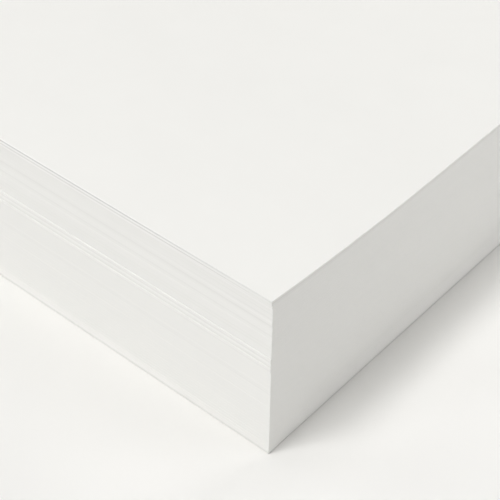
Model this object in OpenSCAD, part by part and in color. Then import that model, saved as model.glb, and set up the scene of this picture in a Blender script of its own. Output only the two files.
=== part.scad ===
// A pack of heavy cardstock: loose cut sheets, squared up and lying on each other.
// The origin is the middle of the pack's underside, +Z is up and -Y is the front.
// Sheets are counted from the bottom. Each one is cut square to its own surface, so where
// the front of the pack curls up, every cut edge leans back a little under the next one.

/* [Sheets] */
// Sheets in the pack
sheet_count = 50; // [10:1:60]
// Length of a sheet, along X
sheet_length = 279.4; // [120:0.1:430]
// Width of a sheet, along Y
sheet_width = 215.9; // [90:0.1:300]
// Thickness of one sheet
sheet_thickness = 0.45; // [0.2:0.01:0.8]

/* [Curl of the front edge] */
// How far the front edge of the top sheet stands above the flat part
curl_rise = 1.25; // [0.2:0.01:3]
// How far back from the front edge the sheets lie flat again
curl_reach = 28; // [12:0.5:60]
// Part of the rise that lies under the top sheet alone
top_sheet_lift = 0.03; // [0:0.01:0.15]
// Straight pieces that make up the curl of a sheet
curl_steps = 12; // [4:1:24]

/* [Squaring] */
// Most that a sheet lies out of line, along X or Y
jog = 0.002; // [0:0.001:0.2]
// Most that a sheet is turned, in degrees
turn = 0.001; // [0:0.001:0.03]
// How far the lower sheets stand forward of the ones above them
front_step = 0.04; // [0:0.01:0.5]
// Number of sheets below that step
step_sheets = 32; // [1:1:60]
// Sheets that lie out of line with their neighbours, and how far forward each one stands
out_of_line = [
    [1, 0.04], [2, 0.04], [3, 0.02], [4, 0.01], [15, 0.005], [16, 0.015], [20, -0.005], [21, -0.01],
    [22, 0.015], [28, 0.01], [29, 0.07], [30, -0.01], [31, 0.03], [32, 0.08], [36, 0.01], [37, 0.02],
    [38, 0.015], [39, -0.02], [42, -0.02], [43, 0.025], [44, 0.012], [47, 0.01], [48, 0.04], [49, 0.1],
    [50, 0.2],
];
// Sheets whose front edge is cut out of square, and how many degrees each one leans back
slants = [
    [2, 1.4], [3, 1.6], [4, 0.4], [8, 0.3], [14, -0.3], [16, 1], [21, -0.8], [22, 0.6],
    [28, -0.7], [29, 2.8], [30, -1.5], [31, 0.9], [32, 4.3], [33, -0.5], [35, -0.5], [36, -0.5],
    [38, 1.5], [39, 0.6], [40, -0.7], [41, 0.8], [43, -1.7], [44, 0.8], [47, -0.4], [48, 1], [49, 0.8],
];

/* [Hidden] */
seed = 7;
// Length by which a cutting shape passes the sheet that it cuts
over = 2;
sheets = [1 : sheet_count];
jogs_x = rands(-jog, jog, sheet_count, seed);
jogs_y = rands(-jog, jog, sheet_count, seed + 1);
turns = rands(-turn, turn, sheet_count, seed + 2);
// Shares of the rise that lie under each sheet: uneven, less from sheet to sheet, and none under the first
unevenness = rands(0.7, 1.3, sheet_count, seed + 3);
gap_shares = [for (n = sheets) n == 1 ? 0 : (1.3 - 0.6 * n / sheet_count) * unevenness[n - 1]];
front = -sheet_width / 2;

function sum(list, n) = n == 0 ? 0 : list[n - 1] + sum(list, n - 1);
function two_digits(n) = n < 10 ? str("0", n) : str(n);

// Rise of sheet n at the front edge
function rise(n) =
    (curl_rise - top_sheet_lift) * sum(gap_shares, n) / sum(gap_shares, sheet_count)
    + (n == sheet_count ? top_sheet_lift : 0);
// Share of the rise that is left at a place y, one at the front edge and none past the curl
function curl(y) = pow(max(0, 1 - (y - front) / curl_reach), 2);
// Slope of sheet n at the front edge
function front_slope(n) = 2 * rise(n) / curl_reach;
// Value that a list of pairs gives for sheet n, and none for a sheet that it leaves out
function listed(pairs, n) =
    let (found = [for (pair = pairs) if (pair[0] == n) pair[1]])
    len(found) == 0 ? 0 : found[0];
// How far the cut of sheet n leans back for each unit of height, besides the curl
function out_of_square(n) = tan(listed(slants, n));
// How far sheet n stands forward
function forward(n) = listed(out_of_line, n) + (n <= step_sheets ? front_step : 0);
// Height of the underside of sheet n at a place y
function underside(n, y) = (n - 1) * sheet_thickness + rise(n) * curl(y);
// Places along Y at which the curled profile has a point, from before the front to past the back
places = concat(
    [front - over],
    [for (i = [0 : curl_steps]) front + curl_reach * i / curl_steps],
    [-front + over]
);

// A slab as thick as sheet n that follows the curl, larger all round than the sheet
module curled_slab(n) {
    profile = concat(
        [for (y = places) [y, underside(n, y)]],
        [for (i = [len(places) - 1 : -1 : 0]) [places[i], underside(n, places[i]) + sheet_thickness]]
    );
    rotate([90, 0, 90])
        linear_extrude(sheet_length + 2 * over, center = true)
            polygon(profile);
}

// The space inside the four cuts of sheet n: the front cut leans back with the curl
module trimmed_space(n) {
    low = underside(n, front);
    lean = front_slope(n) + out_of_square(n);
    // The cut passes the middle of the sheet's thickness where a square one would
    start = front - out_of_square(n) * sheet_thickness / 2;
    bottom = -over;
    top = sheet_count * sheet_thickness + curl_rise + over;
    translate([jogs_x[n - 1], jogs_y[n - 1] - forward(n), 0])
        rotate([0, 0, turns[n - 1]])
            rotate([90, 0, 90])
                linear_extrude(sheet_length, center = true)
                    polygon([
                        [start + lean * (bottom - low), bottom],
                        [-front, bottom],
                        [-front, top],
                        [start + lean * (top - low), top]
                    ]);
}

// Sheet n, lying where it does in the pack
module sheet(n) {
    color("#f3f2ee")
        intersection() {
            curled_slab(n);
            trimmed_space(n);
        }
}

for (n = sheets)
    sheet(n);
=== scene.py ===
"""A pack of heavy cardstock, seen at its near corner: loose cut sheets on a pale table."""
import logging
import math
from dataclasses import dataclass, field
from enum import Enum

import bpy
from mathutils import Matrix, Vector


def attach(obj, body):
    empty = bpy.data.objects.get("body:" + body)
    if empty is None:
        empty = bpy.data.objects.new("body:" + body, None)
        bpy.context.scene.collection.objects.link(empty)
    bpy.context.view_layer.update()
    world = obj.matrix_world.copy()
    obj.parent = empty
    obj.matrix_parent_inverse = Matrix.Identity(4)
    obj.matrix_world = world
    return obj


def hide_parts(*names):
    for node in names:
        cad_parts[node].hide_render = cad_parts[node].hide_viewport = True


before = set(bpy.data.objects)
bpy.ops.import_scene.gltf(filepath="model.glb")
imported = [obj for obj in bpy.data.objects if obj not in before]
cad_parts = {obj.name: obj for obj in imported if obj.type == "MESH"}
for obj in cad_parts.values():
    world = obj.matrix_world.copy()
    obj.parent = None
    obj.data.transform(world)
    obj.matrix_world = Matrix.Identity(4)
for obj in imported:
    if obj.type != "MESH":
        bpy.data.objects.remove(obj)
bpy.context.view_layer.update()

MM = 0.001
LOG = logging.getLogger("cardstock_pack")
# How near to a sheet's corner the points of its solid are looked for
CORNER_REACH = 0.5 * MM
# A sheet starts as a box one unit wide, with its middle at the origin. Past the first limit a
# point is on an outer face of the box, past the second it is above or below the inner levels.
BOX_HALF = 0.5
ON_BOX_FACE = 0.4999
ON_OUTER_LEVEL = 0.4
# Value about which a noise pattern swings
NOISE_MIDDLE = 0.5
# Halfway between none and one, where a switch turns over
HALFWAY = 0.5
# A face that points up or down by less than this is a cut one
LEAST_FLATNESS = 0.9
# Attribute of a sheet's mesh: the height up the cut, as a share of the card's thickness
CUT_HEIGHT = "cut_height"


class PaintedLine(Enum):
    """Painted shade and painted light along a cut, by the name of the mesh attribute that holds it.
    """

    PAINTED_SHADE = "cut_painted_shade"
    PAINTED_LIGHT = "cut_painted_light"


def linear(hex_colour: str) -> tuple[float, float, float, float]:
    """Turns an sRGB hex colour to linear light.

    Args:
        hex_colour: Six hex digits, with or without a leading mark.

    Returns:
        Red, green, blue and an alpha of one.
    """
    digits = hex_colour.lstrip("#")
    values = [int(digits[i : i + 2], 16) / 255 for i in (0, 2, 4)]
    # The standard curve of sRGB: straight near black, and a power above it
    red, green, blue = [
        v / 12.92 if v <= 0.04045 else ((v + 0.055) / 1.055) ** 2.4 for v in values
    ]
    return red, green, blue, 1.0


def add_node(
    tree: bpy.types.NodeTree, kind: str, inputs: dict | None = None, **settings
) -> bpy.types.Node:
    """Adds one node with its settings, values and links.

    Args:
        tree: The node tree that the node goes in.
        kind: The node's type name.
        inputs: Values or output sockets, by the name or the number of the input that takes them.
        settings: The node's own properties.

    Returns:
        The new node.
    """
    node = tree.nodes.new(kind)
    for name, value in settings.items():
        setattr(node, name, value)
    for key, value in (inputs or {}).items():
        if isinstance(value, bpy.types.NodeSocket):
            tree.links.new(value, node.inputs[key])
        else:
            node.inputs[key].default_value = value
    return node


def new_material(name: str) -> tuple[bpy.types.Material, bpy.types.NodeTree, bpy.types.Node]:
    """Makes an empty node material.

    Args:
        name: The material's name.

    Returns:
        The material, its node tree and its output node.
    """
    material = bpy.data.materials.new(name)
    material.use_nodes = True
    tree = material.node_tree
    tree.nodes.clear()
    return material, tree, add_node(tree, "ShaderNodeOutputMaterial")


@dataclass(frozen=True)
class Grain:
    """A cloudy pattern: how wide its patches are, and how much finer detail lies in them."""

    size_mm: float
    detail: float
    roughness: float

    def values(self) -> dict[str, float]:
        """Returns the pattern's values, by the names of a noise node's inputs."""
        scale = 1 / (self.size_mm * MM)
        return {"Scale": scale, "Detail": self.detail, "Roughness": self.roughness}


@dataclass(frozen=True)
class WoveFace:
    """Uncoated wove card, calendered lightly on the paper machine: matt, with a fine tooth.

    The eye sees a soft off-white with no shine, faintly cloudy where the pulp lies thicker.
    """

    shade: str = "#F4F3EF"
    thick_pulp: str = "#F1F0EC"
    clouds: Grain = Grain(7.0, 3.0, 0.55)
    # The real tooth is about 0.05 mm wide. It is drawn five times as coarse, so that it shows.
    tooth: Grain = Grain(0.25, 4.0, 0.6)
    tooth_height_mm: float = 0.006
    roughness: float = 0.88
    specular: float = 0.3

    def build(self) -> bpy.types.Material:
        """Returns the finished material."""
        material, tree, output = new_material("wove_card_face")
        place = add_node(tree, "ShaderNodeTexCoord").outputs["Object"]
        clouds = add_node(tree, "ShaderNodeTexNoise", {"Vector": place, **self.clouds.values()})
        colour = add_node(tree, "ShaderNodeMix", {
            "Factor": clouds.outputs["Fac"], 6: linear(self.shade), 7: linear(self.thick_pulp),
        }, data_type="RGBA")
        tooth = add_node(tree, "ShaderNodeTexNoise", {"Vector": place, **self.tooth.values()})
        relief = add_node(tree, "ShaderNodeBump", {
            "Height": tooth.outputs["Fac"], "Strength": 1.0, "Distance": self.tooth_height_mm * MM,
        })
        shader = add_node(tree, "ShaderNodeBsdfPrincipled", {
            "Base Color": colour.outputs[2], "Roughness": self.roughness,
            "Specular IOR Level": self.specular, "Normal": relief.outputs["Normal"],
        })
        tree.links.new(shader.outputs["BSDF"], output.inputs["Surface"])
        return material


@dataclass(frozen=True)
class KnifeCutEdge:
    """Edge of the card as the guillotine left it: open fibres, drawn along the sheet.

    The eye sees a slightly duller, streaky band, each sheet a shade apart from the next.
    """

    shade: str = "#F5F4F1"
    open_fibre: str = "#F2F2EF"
    # Painted shade: a grey for the dark lines under overhanging sheets and where the pack meets the
    # table. Painted light: a paler shade for rims and ledges that catch the light, and for the side
    # cuts of the lowest sheets.
    painted_shade: str = "#B4B3B1"
    painted_light: str = "#FFFEFC"
    streak_length_mm: float = 6.0
    streak_height_mm: float = 0.3
    streak_detail: float = 2.0
    streak_roughness: float = 0.5
    fibres: Grain = Grain(0.12, 3.0, 0.6)
    fibre_height_mm: float = 0.01
    roughness: float = 0.95
    specular: float = 0.2

    def build(self) -> bpy.types.Material:
        """Returns the finished material."""
        material, tree, output = new_material("knife_cut_card_edge")
        place = add_node(tree, "ShaderNodeTexCoord").outputs["Object"]
        along, across = 1 / (self.streak_length_mm * MM), 1 / (self.streak_height_mm * MM)
        drawn = add_node(tree, "ShaderNodeMapping", {
            "Vector": place, "Scale": (along, along, across),
        })
        streaks = add_node(tree, "ShaderNodeTexNoise", {
            "Vector": drawn.outputs["Vector"], "Scale": 1.0,
            "Detail": self.streak_detail, "Roughness": self.streak_roughness,
        })
        colour = add_node(tree, "ShaderNodeMix", {
            "Factor": streaks.outputs["Fac"], 6: linear(self.shade), 7: linear(self.open_fibre),
        }, data_type="RGBA")
        up_cut = add_node(tree, "ShaderNodeAttribute", attribute_name=CUT_HEIGHT).outputs["Fac"]
        # The painted shade lies over the painted light, and each line fades out evenly to both
        # sides
        for mark, shade in ((PaintedLine.PAINTED_LIGHT, self.painted_light), (PaintedLine.PAINTED_SHADE, self.painted_shade)):
            line = add_node(tree, "ShaderNodeAttribute", attribute_name=mark.value)
            amount, height, spread = add_node(
                tree, "ShaderNodeSeparateXYZ", {0: line.outputs["Vector"]},
            ).outputs
            off = add_node(
                tree, "ShaderNodeMath", {0: up_cut, 1: height}, operation="SUBTRACT",
            ).outputs[0]
            off = add_node(tree, "ShaderNodeMath", {0: off}, operation="ABSOLUTE").outputs[0]
            there = add_node(tree, "ShaderNodeMapRange", {
                "Value": off, "From Min": 0.0, "From Max": spread, "To Min": 1.0, "To Max": 0.0,
            }).outputs[0]
            there = add_node(
                tree, "ShaderNodeMath", {0: there, 1: amount}, operation="MULTIPLY",
            ).outputs[0]
            colour = add_node(tree, "ShaderNodeMix", {
                "Factor": there, 6: colour.outputs[2], 7: linear(shade),
            }, data_type="RGBA")
        fibres = add_node(tree, "ShaderNodeTexNoise", {"Vector": place, **self.fibres.values()})
        relief = add_node(tree, "ShaderNodeBump", {
            "Height": fibres.outputs["Fac"], "Strength": 1.0, "Distance": self.fibre_height_mm * MM,
        })
        shader = add_node(tree, "ShaderNodeBsdfPrincipled", {
            "Base Color": colour.outputs[2], "Roughness": self.roughness,
            "Specular IOR Level": self.specular, "Normal": relief.outputs["Normal"],
        })
        tree.links.new(shader.outputs["BSDF"], output.inputs["Surface"])
        return material


@dataclass(frozen=True)
class TableTop:
    """Matt painted board under the pack, the colour of the backdrop.

    The eye sees an even pale ground with no shine.
    """

    shade: str = "#F4F3F0"
    roughness: float = 0.95
    specular: float = 0.0

    def build(self) -> bpy.types.Material:
        """Returns the finished material."""
        material, tree, output = new_material("matt_painted_board")
        shader = add_node(tree, "ShaderNodeBsdfPrincipled", {
            "Base Color": linear(self.shade), "Roughness": self.roughness,
            "Specular IOR Level": self.specular,
        })
        tree.links.new(shader.outputs["BSDF"], output.inputs["Surface"])
        return material


@dataclass
class SheetPlace:
    """Where one sheet lies, read from its solid."""

    name: str
    corners: list[Vector]
    underside: float
    front_lift: float
    front_slant: float

    @classmethod
    def of(cls, name: str) -> "SheetPlace":
        """Reads a sheet's place.

        Args:
            name: The sheet's node.

        Returns:
            The four corners of the underside, front left first and counter-clockwise, the height
            of its flat part, its lift at the front, and how far the front cut leans back over the
            card's thickness.
        """
        points = [v.co.copy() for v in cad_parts[name].data.vertices]
        corners, uppers = [], []
        for sx, sy in ((-1, -1), (1, -1), (1, 1), (-1, 1)):
            outward = Vector((sx, sy, 0.0))
            reach = max(p.dot(outward) for p in points)
            near = [p for p in points if p.dot(outward) > reach - CORNER_REACH]
            middle = (min(p.z for p in near) + max(p.z for p in near)) / 2
            corners.append(max((p for p in near if p.z < middle), key=outward.dot))
            uppers.append(max((p for p in near if p.z > middle), key=outward.dot))
        underside = min(p.z for p in points)
        lift = max(corners[0].z - underside, 0.0)
        slant = uppers[0].y - corners[0].y
        return cls(name, [Vector((c.x, c.y, 0.0)) for c in corners], underside, lift, slant)


@dataclass
class SheetTree:
    """The rule that every sheet follows, as one Geometry Nodes tree.

    A box of faces, dense towards the front, is laid over the sheet's four corners, lifted along the
    curl and given the small roll that the knife leaves along both rims of each cut.
    """

    thickness: float = 0.45 * MM
    front: float = -107.95 * MM
    curl_reach: float = 28.0 * MM
    corner_hold: float = 20.0 * MM
    # By the pack's corners a seen gap is narrower, and this share of it is left
    corner_gap: float = 0.35
    columns: int = 90
    rows: int = 34
    levels: int = 4
    row_bias: float = 2.0
    rim_ripple: float = 0.006 * MM
    ripple_length: float = 9.0 * MM
    ripple_detail: float = 2.0
    sockets: dict[str, str] = field(default_factory=dict)

    def build(self, face: bpy.types.Material, cut_edge: bpy.types.Material) -> bpy.types.NodeTree:
        """Makes the tree.

        Args:
            face: Material of the two faces.
            cut_edge: Material of the four cut edges.

        Returns:
            The node tree. The identifiers of its inputs are kept in sockets, by name.
        """
        tree = bpy.data.node_groups.new("cut_sheet", "GeometryNodeTree")
        given = self.add_inputs(tree)
        box = add_node(tree, "GeometryNodeMeshCube", {
            "Size": (1.0, 1.0, 1.0), "Vertices X": given["Columns"],
            "Vertices Y": given["Rows"], "Vertices Z": self.levels,
        })
        place = add_node(tree, "GeometryNodeInputPosition").outputs["Position"]
        centred = add_node(tree, "ShaderNodeSeparateXYZ", {0: place}).outputs
        share = add_node(
            tree, "ShaderNodeVectorMath", {0: place, 1: (BOX_HALF,) * 3}, operation="ADD",
        )
        u, v, _ = add_node(tree, "ShaderNodeSeparateXYZ", {0: share.outputs[0]}).outputs
        plan = self.lay_out(tree, given, u, v)

        low = add_node(
            tree, "ShaderNodeMath", {0: centred[2], 1: 0.0}, operation="LESS_THAN",
        ).outputs[0]
        in_front = add_node(
            tree, "ShaderNodeMath", {0: centred[1], 1: -ON_BOX_FACE}, operation="LESS_THAN",
        ).outputs[0]
        roll = add_node(tree, "ShaderNodeMix", {
            0: low, 2: given["Upper Roll"], 3: given["Lower Roll"],
        }, data_type="FLOAT").outputs[0]
        roll = add_node(tree, "ShaderNodeMix", {
            0: in_front, 2: given["Side Roll"], 3: roll,
        }, data_type="FLOAT").outputs[0]

        # One above and below the inner levels, where the knife rolls the card in, and else none
        far = add_node(tree, "ShaderNodeMath", {0: centred[2]}, operation="ABSOLUTE").outputs[0]
        outer = add_node(
            tree, "ShaderNodeMath", {0: far, 1: ON_OUTER_LEVEL}, operation="GREATER_THAN",
        ).outputs[0]
        out = self.find_outward(tree, centred)
        depth = add_node(
            tree, "ShaderNodeMath", {0: outer, 1: roll}, operation="MULTIPLY",
        ).outputs[0]
        outline = self.roll_rims(tree, given, plan, out, depth)
        height = self.find_height(tree, given, centred[2], outer, roll)
        share_up = add_node(
            tree, "ShaderNodeMath", {0: height, 1: given["Thickness"]}, operation="DIVIDE",
        ).outputs[0]

        # The curl: none past its reach, and square in the distance that is left to the front
        _, y, _ = add_node(tree, "ShaderNodeSeparateXYZ", {0: outline}).outputs
        behind = add_node(
            tree, "ShaderNodeMath", {0: y, 1: given["Front Line"]}, operation="SUBTRACT",
        ).outputs[0]
        gone = add_node(
            tree, "ShaderNodeMath", {0: behind, 1: given["Curl Reach"]}, operation="DIVIDE",
        ).outputs[0]
        left = add_node(tree, "ShaderNodeMath", {0: 1.0, 1: gone}, operation="SUBTRACT").outputs[0]
        left = add_node(tree, "ShaderNodeMath", {0: left, 1: 0.0}, operation="MAXIMUM").outputs[0]
        squared = add_node(tree, "ShaderNodeMath", {0: left, 1: 2.0}, operation="POWER").outputs[0]
        lift = add_node(
            tree, "ShaderNodeMath", {0: squared, 1: given["Front Lift"]}, operation="MULTIPLY",
        ).outputs[0]
        lean = self.find_lean(tree, given, left, height, share_up, in_front)

        # How far a point is from the nearer side, for what changes towards the pack's corners
        one_side = add_node(
            tree, "ShaderNodeMath", {0: 1.0, 1: u}, operation="SUBTRACT",
        ).outputs[0]
        to_side = add_node(
            tree, "ShaderNodeMath", {0: u, 1: one_side}, operation="MINIMUM",
        ).outputs[0]
        across = add_node(tree, "ShaderNodeVectorMath", {
            0: given["Front Right"], 1: given["Front Left"],
        }, operation="DISTANCE").outputs["Value"]
        to_side = add_node(
            tree, "ShaderNodeMath", {0: to_side, 1: across}, operation="MULTIPLY",
        ).outputs[0]
        burr = self.find_burr(tree, given, to_side, squared, out, low)
        stands = add_node(
            tree, "ShaderNodeMath", {0: height, 1: burr}, operation="SUBTRACT",
        ).outputs[0]
        lifted = add_node(
            tree, "ShaderNodeMath", {0: lift, 1: given["Underside"]}, operation="ADD",
        ).outputs[0]
        z = add_node(tree, "ShaderNodeMath", {0: lifted, 1: stands}, operation="ADD").outputs[0]
        raised = add_node(tree, "ShaderNodeCombineXYZ", {0: 0.0, 1: lean, 2: z}).outputs[0]
        final = add_node(
            tree, "ShaderNodeVectorMath", {0: outline, 1: raised}, operation="ADD",
        ).outputs[0]

        # The painted shade and painted light are stored on the box, because bending it would move
        # the places they follow
        marked = self.mark_cuts(
            tree, given, box.outputs["Mesh"], share_up, to_side, in_front, behind,
        )
        sheet = add_node(tree, "GeometryNodeSetPosition", {"Geometry": marked, "Position": final})
        whole = self.dress(tree, sheet.outputs[0], face, cut_edge)
        add_node(tree, "NodeGroupOutput", {"Sheet": whole})
        return tree

    def lay_out(
        self,
        tree: bpy.types.NodeTree,
        given: bpy.types.bpy_prop_collection,
        u: bpy.types.NodeSocket,
        v: bpy.types.NodeSocket,
    ) -> bpy.types.NodeSocket:
        """Lays the box over the sheet's four corners, its rows closer in front.

        Args:
            tree: The tree of the rule.
            given: The tree's inputs.
            u: Share of the way from the left to the right.
            v: Share of the way from the front to the back.

        Returns:
            Where each point lies, seen from above.
        """
        back = add_node(
            tree, "ShaderNodeMath", {0: v, 1: given["Row Bias"]}, operation="POWER",
        ).outputs[0]
        front_edge = add_node(tree, "ShaderNodeMix", {
            "Factor": u, 4: given["Front Left"], 5: given["Front Right"],
        }, data_type="VECTOR").outputs[1]
        back_edge = add_node(tree, "ShaderNodeMix", {
            "Factor": u, 4: given["Back Left"], 5: given["Back Right"],
        }, data_type="VECTOR").outputs[1]
        plan = add_node(tree, "ShaderNodeMix", {
            "Factor": back, 4: front_edge, 5: back_edge,
        }, data_type="VECTOR").outputs[1]
        return plan

    def find_outward(
        self,
        tree: bpy.types.NodeTree,
        centred: bpy.types.bpy_prop_collection,
    ) -> bpy.types.NodeSocket:
        """Finds which way the cuts face.

        Args:
            tree: The tree of the rule.
            centred: The box's X, Y and Z.

        Returns:
            The way out of the sheet, for points on a cut, and none for the others.
        """
        outward = []
        for axis in (0, 1):
            way = add_node(tree, "ShaderNodeMath", {0: centred[axis]}, operation="SIGN").outputs[0]
            off = add_node(
                tree, "ShaderNodeMath", {0: centred[axis]}, operation="ABSOLUTE",
            ).outputs[0]
            edge = add_node(
                tree, "ShaderNodeMath", {0: off, 1: ON_BOX_FACE}, operation="GREATER_THAN",
            ).outputs[0]
            outward.append(add_node(
                tree, "ShaderNodeMath", {0: way, 1: edge}, operation="MULTIPLY",
            ).outputs[0])
        out = add_node(
            tree, "ShaderNodeCombineXYZ", {0: outward[0], 1: outward[1], 2: 0.0},
        ).outputs[0]
        return out

    def roll_rims(
        self,
        tree: bpy.types.NodeTree,
        given: bpy.types.bpy_prop_collection,
        plan: bpy.types.NodeSocket,
        out: bpy.types.NodeSocket,
        depth: bpy.types.NodeSocket,
    ) -> bpy.types.NodeSocket:
        """Rolls the rims of the cuts in a little, with a slight ripple.

        Args:
            tree: The tree of the rule.
            given: The tree's inputs.
            plan: Where each point lies, seen from above.
            out: The way out of the sheet, on the cuts.
            depth: How far a point is rolled in.

        Returns:
            Where each point lies after that, seen from above.
        """
        finer = add_node(
            tree, "ShaderNodeMath", {0: 1.0, 1: given["Ripple Length"]}, operation="DIVIDE",
        ).outputs[0]
        noise = add_node(tree, "ShaderNodeTexNoise", {
            "Vector": plan, "W": given["Seed"], "Scale": finer, "Detail": self.ripple_detail,
        }, noise_dimensions="4D").outputs[0]
        swing = add_node(
            tree, "ShaderNodeMath", {0: noise, 1: NOISE_MIDDLE}, operation="SUBTRACT",
        ).outputs[0]
        ripple = add_node(
            tree, "ShaderNodeMath", {0: swing, 1: given["Rim Ripple"]}, operation="MULTIPLY",
        ).outputs[0]
        reach = add_node(
            tree, "ShaderNodeMath", {0: ripple, 1: depth}, operation="SUBTRACT",
        ).outputs[0]
        moved = add_node(
            tree, "ShaderNodeVectorMath", {0: out, "Scale": reach}, operation="SCALE",
        ).outputs[0]
        outline = add_node(
            tree, "ShaderNodeVectorMath", {0: plan, 1: moved}, operation="ADD",
        ).outputs[0]
        return outline

    def find_height(
        self,
        tree: bpy.types.NodeTree,
        given: bpy.types.bpy_prop_collection,
        across: bpy.types.NodeSocket,
        outer: bpy.types.NodeSocket,
        roll: bpy.types.NodeSocket,
    ) -> bpy.types.NodeSocket:
        """Finds the height within the sheet, above its own underside.

        Args:
            tree: The tree of the rule.
            given: The tree's inputs.
            across: The box's Z, none in the middle of the sheet.
            outer: One on the two faces, and none on the inner levels.
            roll: How far the inner levels lie from the faces.

        Returns:
            The height of each point.
        """
        # The two inner levels lie a knife roll away from the faces
        up = add_node(tree, "ShaderNodeMath", {0: across}, operation="SIGN").outputs[0]
        half = add_node(
            tree, "ShaderNodeMath", {0: given["Thickness"], 1: 2.0}, operation="DIVIDE",
        ).outputs[0]
        inner = add_node(
            tree, "ShaderNodeMath", {0: half, 1: roll}, operation="SUBTRACT",
        ).outputs[0]
        level = add_node(
            tree, "ShaderNodeMix", {0: outer, 2: inner, 3: half}, data_type="FLOAT",
        ).outputs[0]
        from_middle = add_node(
            tree, "ShaderNodeMath", {0: up, 1: level}, operation="MULTIPLY",
        ).outputs[0]
        height = add_node(
            tree, "ShaderNodeMath", {0: from_middle, 1: half}, operation="ADD",
        ).outputs[0]
        return height

    def find_lean(
        self,
        tree: bpy.types.NodeTree,
        given: bpy.types.bpy_prop_collection,
        left: bpy.types.NodeSocket,
        height: bpy.types.NodeSocket,
        share_up: bpy.types.NodeSocket,
        in_front: bpy.types.NodeSocket,
    ) -> bpy.types.NodeSocket:
        """Finds how far a point leans back, by the curl and by the slant of its cut.

        Args:
            tree: The tree of the rule.
            given: The tree's inputs.
            left: Share of the way to the front that is left at the point.
            height: Height within the sheet.
            share_up: The same as a share of the thickness.
            in_front: One on the front cut and else none.

        Returns:
            The distance that the point leans back.
        """
        steep = add_node(tree, "ShaderNodeMath", {
            0: given["Front Lift"], 1: given["Curl Reach"],
        }, operation="DIVIDE").outputs[0]
        slope = add_node(
            tree, "ShaderNodeMath", {0: left, 1: steep}, operation="MULTIPLY",
        ).outputs[0]
        lean = add_node(
            tree, "ShaderNodeMath", {0: slope, 1: height}, operation="MULTIPLY",
        ).outputs[0]
        lean = add_node(tree, "ShaderNodeMath", {0: lean, 1: 2.0}, operation="MULTIPLY").outputs[0]
        # The slant read from the solid has the curl's own lean in it, so that comes off
        curled = add_node(
            tree, "ShaderNodeMath", {0: steep, 1: given["Thickness"]}, operation="MULTIPLY",
        ).outputs[0]
        curled = add_node(
            tree, "ShaderNodeMath", {0: curled, 1: 2.0}, operation="MULTIPLY",
        ).outputs[0]
        own = add_node(
            tree, "ShaderNodeMath", {0: given["Front Slant"], 1: curled}, operation="SUBTRACT",
        ).outputs[0]
        own = add_node(
            tree, "ShaderNodeMath", {0: own, 1: in_front}, operation="MULTIPLY",
        ).outputs[0]
        own = add_node(
            tree, "ShaderNodeMath", {0: own, 1: share_up}, operation="MULTIPLY",
        ).outputs[0]
        lean = add_node(tree, "ShaderNodeMath", {0: lean, 1: own}, operation="ADD").outputs[0]
        return lean

    def find_burr(
        self,
        tree: bpy.types.NodeTree,
        given: bpy.types.bpy_prop_collection,
        to_side: bpy.types.NodeSocket,
        squared: bpy.types.NodeSocket,
        out: bpy.types.NodeSocket,
        low: bpy.types.NodeSocket,
    ) -> bpy.types.NodeSocket:
        """Finds the burr that closes the gap to the sheet below, but for what is seen of it.

        Args:
            tree: The tree of the rule.
            given: The tree's inputs.
            to_side: Distance to the nearer side of the sheet.
            squared: Share of the lift that is left at the point.
            out: The way out of the sheet, on the cuts.
            low: One in the lower half of the sheet and else none.

        Returns:
            How far the lower rim reaches down.
        """
        held = add_node(tree, "ShaderNodeMapRange", {
            "Value": to_side, "From Min": 0.0, "From Max": given["Corner Hold"],
            "To Min": self.corner_gap, "To Max": 1.0,
        }).outputs[0]
        open_gap = add_node(
            tree, "ShaderNodeMath", {0: given["Seen Gap"], 1: held}, operation="MULTIPLY",
        ).outputs[0]
        burr = add_node(
            tree, "ShaderNodeMath", {0: given["Gap"], 1: open_gap}, operation="SUBTRACT",
        ).outputs[0]
        burr = add_node(
            tree, "ShaderNodeMath", {0: burr, 1: squared}, operation="MULTIPLY",
        ).outputs[0]
        on_cut = add_node(
            tree, "ShaderNodeVectorMath", {0: out}, operation="LENGTH",
        ).outputs["Value"]
        on_cut = add_node(
            tree, "ShaderNodeMath", {0: on_cut, 1: HALFWAY}, operation="GREATER_THAN",
        ).outputs[0]
        burr = add_node(
            tree, "ShaderNodeMath", {0: burr, 1: on_cut}, operation="MULTIPLY",
        ).outputs[0]
        burr = add_node(tree, "ShaderNodeMath", {0: burr, 1: low}, operation="MULTIPLY").outputs[0]
        return burr

    def add_inputs(self, tree: bpy.types.NodeTree) -> bpy.types.bpy_prop_collection:
        """Gives the tree its inputs, and keeps their identifiers in sockets, by name.

        Args:
            tree: The tree of the rule.

        Returns:
            The values that the tree is given, by the names of the inputs.
        """
        wanted = {
            "Front Left": "Vector", "Front Right": "Vector",
            "Back Right": "Vector", "Back Left": "Vector",
            "Underside": "Float", "Thickness": "Float", "Front Lift": "Float",
            "Curl Reach": "Float", "Front Line": "Float", "Front Slant": "Float",
            "Gap": "Float", "Seen Gap": "Float", "Corner Hold": "Float",
            "Side Roll": "Float", "Upper Roll": "Float", "Lower Roll": "Float",
            "Rim Ripple": "Float", "Ripple Length": "Float", "Seed": "Float",
            "Columns": "Int", "Rows": "Int", "Row Bias": "Float",
            # Lines of painted shade and painted light on the cuts, as amount, height and spread
            "Bruise": "Vector", "Corner Bruise": "Vector", "Side Bruise": "Vector",
            "Polish": "Vector", "Corner Polish": "Vector", "Side Polish": "Vector",
        }
        for name, kind in wanted.items():
            socket = tree.interface.new_socket(
                name, in_out="INPUT", socket_type=f"NodeSocket{kind}",
            )
            self.sockets[name] = socket.identifier
        tree.interface.new_socket("Sheet", in_out="OUTPUT", socket_type="NodeSocketGeometry")
        return add_node(tree, "NodeGroupInput").outputs

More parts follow.
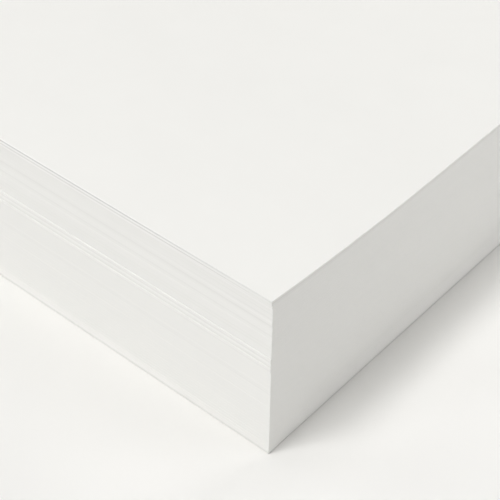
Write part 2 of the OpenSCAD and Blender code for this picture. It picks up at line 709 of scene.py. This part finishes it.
    def mark_cuts(
        self,
        tree: bpy.types.NodeTree,
        given: bpy.types.bpy_prop_collection,
        mesh: bpy.types.NodeSocket,
        share_up: bpy.types.NodeSocket,
        to_side: bpy.types.NodeSocket,
        in_front: bpy.types.NodeSocket,
        behind: bpy.types.NodeSocket,
    ) -> bpy.types.NodeSocket:
        """Stores what the finish of the cuts reads: the height up the cut and the lines of painted
        shade and painted light.

        Args:
            tree: The tree of the rule.
            given: The tree's inputs.
            mesh: The box, before it is bent into a sheet.
            share_up: Height up the cut, as a share of the thickness.
            to_side: Distance to the nearer side of the sheet.
            in_front: One on the front cut and else none.
            behind: Distance from the front line of the pack.

        Returns:
            The box with the three attributes.
        """
        measured = add_node(tree, "GeometryNodeStoreNamedAttribute", {
            "Geometry": mesh, "Name": CUT_HEIGHT, "Value": share_up,
        }, data_type="FLOAT", domain="POINT")
        away = add_node(tree, "ShaderNodeMapRange", {
            "Value": to_side, "From Min": 0.0, "From Max": given["Corner Hold"],
            "To Min": 0.0, "To Max": 1.0,
        }).outputs[0]
        # Lines of painted shade and painted light, blended from the corner values to the plain
        # ones, with their own values on the side and back cuts
        painted_shade = add_node(tree, "ShaderNodeMix", {
            "Factor": away, 4: given["Corner Bruise"], 5: given["Bruise"],
        }, data_type="VECTOR").outputs[1]
        painted_shade = add_node(tree, "ShaderNodeMix", {
            "Factor": in_front, 4: given["Side Bruise"], 5: painted_shade,
        }, data_type="VECTOR").outputs[1]
        painted_light = add_node(tree, "ShaderNodeMix", {
            "Factor": away, 4: given["Corner Polish"], 5: given["Polish"],
        }, data_type="VECTOR").outputs[1]
        # The painted light on the side cuts fades out towards the pack's front corners
        from_front = add_node(tree, "ShaderNodeMapRange", {
            "Value": behind, "From Min": 0.0, "From Max": given["Corner Hold"],
            "To Min": 0.0, "To Max": 1.0,
        }).outputs[0]
        fading = add_node(tree, "ShaderNodeCombineXYZ", {0: from_front, 1: 1.0, 2: 1.0}).outputs[0]
        side_painted_light = add_node(tree, "ShaderNodeVectorMath", {
            0: given["Side Polish"], 1: fading,
        }, operation="MULTIPLY").outputs[0]
        painted_light = add_node(tree, "ShaderNodeMix", {
            "Factor": in_front, 4: side_painted_light, 5: painted_light,
        }, data_type="VECTOR").outputs[1]
        finished = measured
        for mark, line in ((PaintedLine.PAINTED_SHADE, painted_shade), (PaintedLine.PAINTED_LIGHT, painted_light)):
            finished = add_node(tree, "GeometryNodeStoreNamedAttribute", {
                "Geometry": finished.outputs[0], "Name": mark.value, "Value": line,
            }, data_type="FLOAT_VECTOR", domain="FACE")
        return finished.outputs[0]

    def dress(
        self,
        tree: bpy.types.NodeTree,
        sheet: bpy.types.NodeSocket,
        face: bpy.types.Material,
        cut_edge: bpy.types.Material,
    ) -> bpy.types.NodeSocket:
        """Gives the sheet its two finishes, with the cuts shaded flat.

        Args:
            tree: The tree of the rule.
            sheet: The bent sheet.
            face: Material of the two faces.
            cut_edge: Material of the four cut edges.

        Returns:
            The sheet as one real mesh.
        """
        normal = add_node(tree, "GeometryNodeInputNormal").outputs[0]
        flatness = add_node(tree, "ShaderNodeSeparateXYZ", {0: normal}).outputs[2]
        flatness = add_node(tree, "ShaderNodeMath", {0: flatness}, operation="ABSOLUTE").outputs[0]
        is_cut = add_node(
            tree, "ShaderNodeMath", {0: flatness, 1: LEAST_FLATNESS}, operation="LESS_THAN",
        ).outputs[0]
        flat = add_node(tree, "GeometryNodeSetShadeSmooth", {
            "Geometry": sheet, "Selection": is_cut, "Shade Smooth": False,
        })
        faces = add_node(tree, "GeometryNodeSetMaterial", {
            "Geometry": flat.outputs[0], "Material": face,
        })
        edges = add_node(tree, "GeometryNodeSetMaterial", {
            "Geometry": faces.outputs[0], "Selection": is_cut, "Material": cut_edge,
        })
        whole = add_node(tree, "GeometryNodeRealizeInstances", {"Geometry": edges.outputs[0]})
        return whole.outputs[0]


@dataclass(frozen=True)
class CutLine:
    """A painted line along a cut: painted shade where it darkens the cut, painted light where it
    lightens it.

    The amount is its strength, from none to one. The height is its place up the cut and the spread
    is half its width, both as shares of the card's thickness. Amount and height have a second value
    for the ends of a front cut, by the pack's corners.
    """

    amount: float = 0.0
    height: float = 0.0
    corner_amount: float = 0.0
    corner_height: float = 0.0
    spread: float = 0.38

    def plain(self) -> tuple[float, float, float]:
        """Returns the line's amount, height and spread away from the corners."""
        return self.amount, self.height, self.spread

    def at_corner(self) -> tuple[float, float, float]:
        """Returns the line's amount, height and spread by the corners."""
        return self.corner_amount, self.corner_height, self.spread


@dataclass(frozen=True)
class FrontRim:
    """How the knife and handling left one sheet's front cut, with the painted shade and painted
    light on it; lengths are in millimetres.

    A rolled upper rim catches the light. A line of painted light is a painted highlight, and a line
    of painted shade a painted shadow.
    """

    upper_roll: float = 0.010
    lower_roll: float = 0.010
    seen_gap: float = 0.002
    painted_shade: CutLine = CutLine()
    painted_light: CutLine = CutLine()


@dataclass
class CardPack:
    """All the sheets, each at the place of its own solid."""

    form: SheetTree = field(default_factory=SheetTree)
    face: WoveFace = field(default_factory=WoveFace)
    cut_edge: KnifeCutEdge = field(default_factory=KnifeCutEdge)
    plain_rim: FrontRim = FrontRim()
    side_roll: float = 0.010
    # Lines of painted shade on the side and back cuts, by the sheet's number from the bottom: a
    # painted contact shadow at the foot of the pack, and painted shadow under the top sheets
    side_painted_shades: dict[int, CutLine] = field(default_factory=lambda: {
        1: CutLine(0.45, 0.2), 49: CutLine(0.07, 0.8), 50: CutLine(0.17, 0.35),
    })
    # The same cuts of the lowest sheets are painted paler over their whole height: painted light
    # near the foot of the pack
    side_painted_lights: dict[int, CutLine] = field(default_factory=lambda: {
        2: CutLine(0.75, 0.5, spread=2.0),
        3: CutLine(0.65, 0.5, spread=2.0),
        4: CutLine(0.50, 0.5, spread=2.0),
        5: CutLine(0.35, 0.5, spread=2.0),
        6: CutLine(0.20, 0.5, spread=2.0),
    })
    # Front cuts that differ from the plain one, by the sheet's number from the bottom. Of each
    # one's two lines, the darkening one is painted shade, under overhanging sheets and where the
    # pack meets the table, and the lightening one is painted light on rims and ledges.
    odd_rims: dict[int, FrontRim] = field(default_factory=lambda: {
        1: FrontRim(0.020, 0.060, 0.0, CutLine(0.20, 0.30, 0.27, 0.45, 0.75)),
        2: FrontRim(0.020, painted_light=CutLine(0.45, 0.4, 0.0, 0.4, 1.2)),
        3: FrontRim(0.020, painted_light=CutLine(0.35, 0.4, 0.0, 0.4, 1.2)),
        4: FrontRim(0.010, painted_light=CutLine(0.15, 0.3, 0.0, 0.3, 0.8)),
        15: FrontRim(0.015, painted_light=CutLine(0.12, 0.9, 0.06, 0.9)),
        16: FrontRim(0.020),
        21: FrontRim(0.010, painted_shade=CutLine(0.02, 0.6, 0.06, 0.4)),
        22: FrontRim(0.015, painted_shade=CutLine(0.03, 0.2, 0.03, 0.2)),
        29: FrontRim(
            0.036, 0.010, 0.006, CutLine(0.04, 0.1, 0.06, 0.1), CutLine(0.15, 0.5, 0.0, 0.5),
        ),
        30: FrontRim(0.010, painted_shade=CutLine(0.04, 0.4, 0.06, 0.4)),
        31: FrontRim(0.020, 0.010, 0.006, painted_light=CutLine(0.4, 0.4, 0.4, 0.4)),
        32: FrontRim(0.065, 0.010, 0.006, CutLine(0.06, 0.15, 0.10, 0.15)),
        33: FrontRim(0.010, painted_shade=CutLine(0.02, 0.1, 0.06, 0.2)),
        35: FrontRim(0.010, painted_shade=CutLine(0.03, 0.5, 0.06, 0.5)),
        36: FrontRim(0.010, painted_shade=CutLine(0.03, 0.5, 0.06, 0.5)),
        37: FrontRim(0.020, painted_light=CutLine(0.06, 0.6, 0.0, 0.6)),
        38: FrontRim(0.030, painted_light=CutLine(0.1, 0.5, 0.0, 0.5)),
        40: FrontRim(
            0.010, 0.010, 0.002, CutLine(0.06, 0.25, 0.08, 0.2), CutLine(0.18, 0.9, 0.1, 0.9),
        ),
        41: FrontRim(0.020, painted_light=CutLine(0.15, 0.5, 0.1, 0.5)),
        42: FrontRim(0.010, painted_shade=CutLine(0.04, 0.9, 0.06, 0.9)),
        43: FrontRim(0.010, 0.010, 0.004, CutLine(0.08, 0.4, 0.13, 0.3)),
        44: FrontRim(0.018, 0.010, 0.004, painted_light=CutLine(0.12, 0.6, 0.35, 0.4)),
        45: FrontRim(
            0.010, painted_shade=CutLine(0.0, 0.3, 0.08, 0.3), painted_light=CutLine(0.08, 0.6, 0.0, 0.6),
        ),
        46: FrontRim(0.010, painted_shade=CutLine(0.0, 0.9, 0.10, 0.95)),
        47: FrontRim(0.010, painted_shade=CutLine(0.0, 0.9, 0.10, 1.0)),
        48: FrontRim(
            0.006, 0.006, 0.004, CutLine(0.0, 1.0, 0.80, 1.05), CutLine(0.9, 0.9, 0.3, 0.6, 0.4),
        ),
        49: FrontRim(
            0.006, 0.006, 0.004, CutLine(0.14, 0.58, 1.0, 1.05), CutLine(0.85, 0.1, 0.0, 0.3, 0.3),
        ),
        50: FrontRim(
            0.080, 0.006, 0.004,
            CutLine(0.68, 0.65, 0.16, 0.76, 0.28), CutLine(0.95, 0.6, 0.0, 0.6, 2.5),
        ),
    })

    def build(self) -> list[bpy.types.Object]:
        """Builds every sheet.

        Returns:
            The sheets, from the bottom of the pack to its top.
        """
        tree = self.form.build(self.face.build(), self.cut_edge.build())
        names = sorted(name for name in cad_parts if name.startswith("sheet_"))
        places = [SheetPlace.of(name) for name in names]
        return [self.lay(places, number, tree) for number in range(len(places))]

    def lay(
        self, places: list[SheetPlace], number: int, tree: bpy.types.NodeTree
    ) -> bpy.types.Object:
        """Makes one sheet as a plain mesh.

        Args:
            places: Where every sheet lies, from the bottom up.
            number: The sheet's place from the bottom, the lowest being nought. It seeds the
                ripple too.
            tree: The rule that the sheet follows.

        Returns:
            The sheet, riding on the pack in place of its solid.
        """
        place, rim = places[number], self.odd_rims.get(number + 1, self.plain_rim)
        gap = place.front_lift - places[number - 1].front_lift if number else 0.0
        holder = bpy.data.objects.new("holder", bpy.data.meshes.new("holder"))
        bpy.context.scene.collection.objects.link(holder)
        modifier = holder.modifiers.new("sheet", "NODES")
        modifier.node_group = tree
        values = {
            "Underside": place.underside, "Thickness": self.form.thickness,
            "Front Lift": place.front_lift, "Curl Reach": self.form.curl_reach,
            "Front Line": self.form.front, "Front Slant": place.front_slant,
            "Gap": gap, "Seen Gap": min(rim.seen_gap * MM, gap),
            "Corner Hold": self.form.corner_hold, "Side Roll": self.side_roll * MM,
            "Upper Roll": rim.upper_roll * MM, "Lower Roll": rim.lower_roll * MM,
            "Rim Ripple": self.form.rim_ripple, "Ripple Length": self.form.ripple_length,
            "Seed": float(number), "Columns": self.form.columns, "Rows": self.form.rows,
            "Row Bias": self.form.row_bias,
            # Lines of painted shade and painted light on this sheet's cuts
            "Bruise": rim.painted_shade.plain(), "Corner Bruise": rim.painted_shade.at_corner(),
            "Side Bruise": self.side_painted_shades.get(number + 1, CutLine()).plain(),
            "Polish": rim.painted_light.plain(), "Corner Polish": rim.painted_light.at_corner(),
            "Side Polish": self.side_painted_lights.get(number + 1, CutLine()).plain(),
        }
        corner_names = ("Front Left", "Front Right", "Back Right", "Back Left")
        for name, corner in zip(corner_names, place.corners):
            values[name] = tuple(corner)
        for name, value in values.items():
            modifier[self.form.sockets[name]] = value
        evaluated = holder.evaluated_get(bpy.context.evaluated_depsgraph_get())
        mesh = bpy.data.meshes.new_from_object(evaluated)
        bpy.data.objects.remove(holder)
        sheet = bpy.data.objects.new(f"card_{place.name}", mesh)
        bpy.context.scene.collection.objects.link(sheet)
        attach(sheet, "root")
        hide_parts(place.name)
        return sheet


@dataclass(frozen=True)
class FarLamp:
    """A large lamp, so far off that its light falls evenly over the whole pack.

    Azimuth is counted in degrees from the front of the pack towards its right-hand side.
    """

    name: str
    azimuth: float
    elevation: float
    strength: float
    softness: float

    def hang(self) -> bpy.types.Object:
        """Returns the lamp, hung in the scene."""
        lamp = bpy.data.lights.new(self.name, "SUN")
        lamp.energy = self.strength
        lamp.angle = math.radians(self.softness)
        holder = bpy.data.objects.new(self.name, lamp)
        holder.rotation_mode = "QUATERNION"
        holder.rotation_quaternion = towards(self.azimuth, self.elevation).to_track_quat("Z", "Y")
        bpy.context.scene.collection.objects.link(holder)
        return holder


@dataclass(frozen=True)
class NearLamp:
    """A small round softbox close to the pack's near corner, which lights that corner most.

    Its hood lets the light out in a cone of so many degrees, and 180 is a softbox without a hood.
    """

    name: str
    azimuth: float
    elevation: float
    distance: float
    diameter: float
    watts: float
    cone: float

    def hang(self, corner: Vector) -> bpy.types.Object:
        """Hangs the lamp in the scene.

        Args:
            corner: The pack's near corner, where the lamp points.

        Returns:
            The lamp.
        """
        lamp = bpy.data.lights.new(self.name, "AREA")
        lamp.shape = "DISK"
        lamp.size = self.diameter
        lamp.energy = self.watts
        lamp.spread = math.radians(self.cone)
        holder = bpy.data.objects.new(self.name, lamp)
        way = towards(self.azimuth, self.elevation)
        holder.rotation_mode = "QUATERNION"
        holder.rotation_quaternion = way.to_track_quat("Z", "Y")
        holder.location = corner + way * self.distance
        bpy.context.scene.collection.objects.link(holder)
        return holder


def towards(azimuth: float, elevation: float) -> Vector:
    """Gives the way to a lamp.

    Args:
        azimuth: Degrees from the front of the pack towards its right-hand side.
        elevation: Degrees above the table.

    Returns:
        A vector of length one.
    """
    turn, rise = math.radians(azimuth), math.radians(elevation)
    level = math.cos(rise)
    return Vector((math.sin(turn) * level, -math.cos(turn) * level, math.sin(rise)))


@dataclass
class Studio:
    """Pale table, soft lamps and the camera."""

    table_half: float = 4.0
    table: TableTop = field(default_factory=TableTop)
    lamps_aim_at: tuple[float, float, float] = (109.7 * MM, -77.9 * MM, 23.2 * MM)
    # Azimuth, elevation, strength and softness
    far_lamps: tuple[FarLamp, ...] = (
        FarLamp("key", 330, 66, 0.823, 12),
        FarLamp("front_wash", 0, 50, 0.644, 12),
        FarLamp("left_wash", 345, 50, 0.455, 12),
        FarLamp("low_front", 330, 12, 0.545, 12),
        FarLamp("back_skim", 180, 7, 1.825, 6),
        FarLamp("back_top", 210, 65, 0.340, 24),
    )
    # Azimuth, elevation, distance, diameter, watts and cone
    near_lamps: tuple[NearLamp, ...] = (
        NearLamp("right_fill", 120, 21.8, 0.3231, 0.25, 0.130, 100),
        NearLamp("left_fill", 285, 48, 0.4, 0.3, 0.364, 180),
    )

    def build(self) -> None:
        """Sets up everything that isn't part of the pack."""
        self.lay_table()
        self.light()

    def lay_table(self) -> None:
        """Lays the table that the pack rests on."""
        r = self.table_half
        mesh = bpy.data.meshes.new("table")
        mesh.from_pydata([(-r, -r, 0), (r, -r, 0), (r, r, 0), (-r, r, 0)], [], [(0, 1, 2, 3)])
        mesh.materials.append(self.table.build())
        table = bpy.data.objects.new("table", mesh)
        bpy.context.scene.collection.objects.link(table)

    def light(self) -> None:
        """Hangs the lamps, in front of a backdrop that only the camera sees."""
        world = bpy.data.worlds.new("studio")
        world.use_nodes = True
        background = world.node_tree.nodes["Background"]
        background.inputs["Color"].default_value = linear(self.table.shade)
        seen = add_node(world.node_tree, "ShaderNodeLightPath").outputs["Is Camera Ray"]
        world.node_tree.links.new(seen, background.inputs["Strength"])
        bpy.context.scene.world = world
        for lamp in self.far_lamps:
            lamp.hang()
        for lamp in self.near_lamps:
            lamp.hang(Vector(self.lamps_aim_at))


@dataclass
class PhotoCamera:
    """The camera, placed from the near top corner of the pack as it stood for the photograph."""

    # The pack's near corner, and the camera's place from it as shares of its height
    corner: tuple[float, float] = (139.7 * MM, -107.95 * MM)
    corner_height: float = 23.57 * MM
    away: tuple[float, float, float] = (2.7596, -3.4055, 4.2549)
    turn: float = 40.33
    tilt_down: float = 42.05
    roll: float = -0.61
    lens: float = 102.7
    sensor_width: float = 36.0
    clip_start: float = 0.01

    def build(self) -> bpy.types.Object:
        """Returns the camera, set as the scene's own."""
        corner = Vector((*self.corner, self.corner_height))
        turn, tilt, roll = (math.radians(a) for a in (self.turn, self.tilt_down, self.roll))
        right = Vector((math.cos(turn), math.sin(turn), 0))
        level = Vector((-math.sin(turn), math.cos(turn), 0))
        ahead = level * math.cos(tilt) - Vector((0, 0, 1)) * math.sin(tilt)
        down = ahead.cross(right)
        across = right * math.cos(roll) + down * math.sin(roll)
        up = right * math.sin(roll) - down * math.cos(roll)
        data = bpy.data.cameras.new("photo_camera")
        data.sensor_width = self.sensor_width
        data.lens = self.lens
        data.clip_start = self.clip_start
        camera = bpy.data.objects.new("photo_camera", data)
        camera.matrix_world = Matrix((across, up, -ahead)).transposed().to_4x4()
        camera.location = corner + Vector(self.away) * self.corner_height
        bpy.context.scene.collection.objects.link(camera)
        bpy.context.scene.camera = camera
        return camera


def main() -> None:
    """Builds the camera, the studio and the pack in turn."""
    logging.basicConfig(level=logging.INFO, format="%(name)s: %(message)s")
    bpy.context.scene.view_settings.view_transform = "Standard"
    PhotoCamera().build()
    Studio().build()
    for sheet in CardPack().build():
        LOG.info("%s: %d faces", sheet.name, len(sheet.data.polygons))


if __name__ == "__main__":
    main()
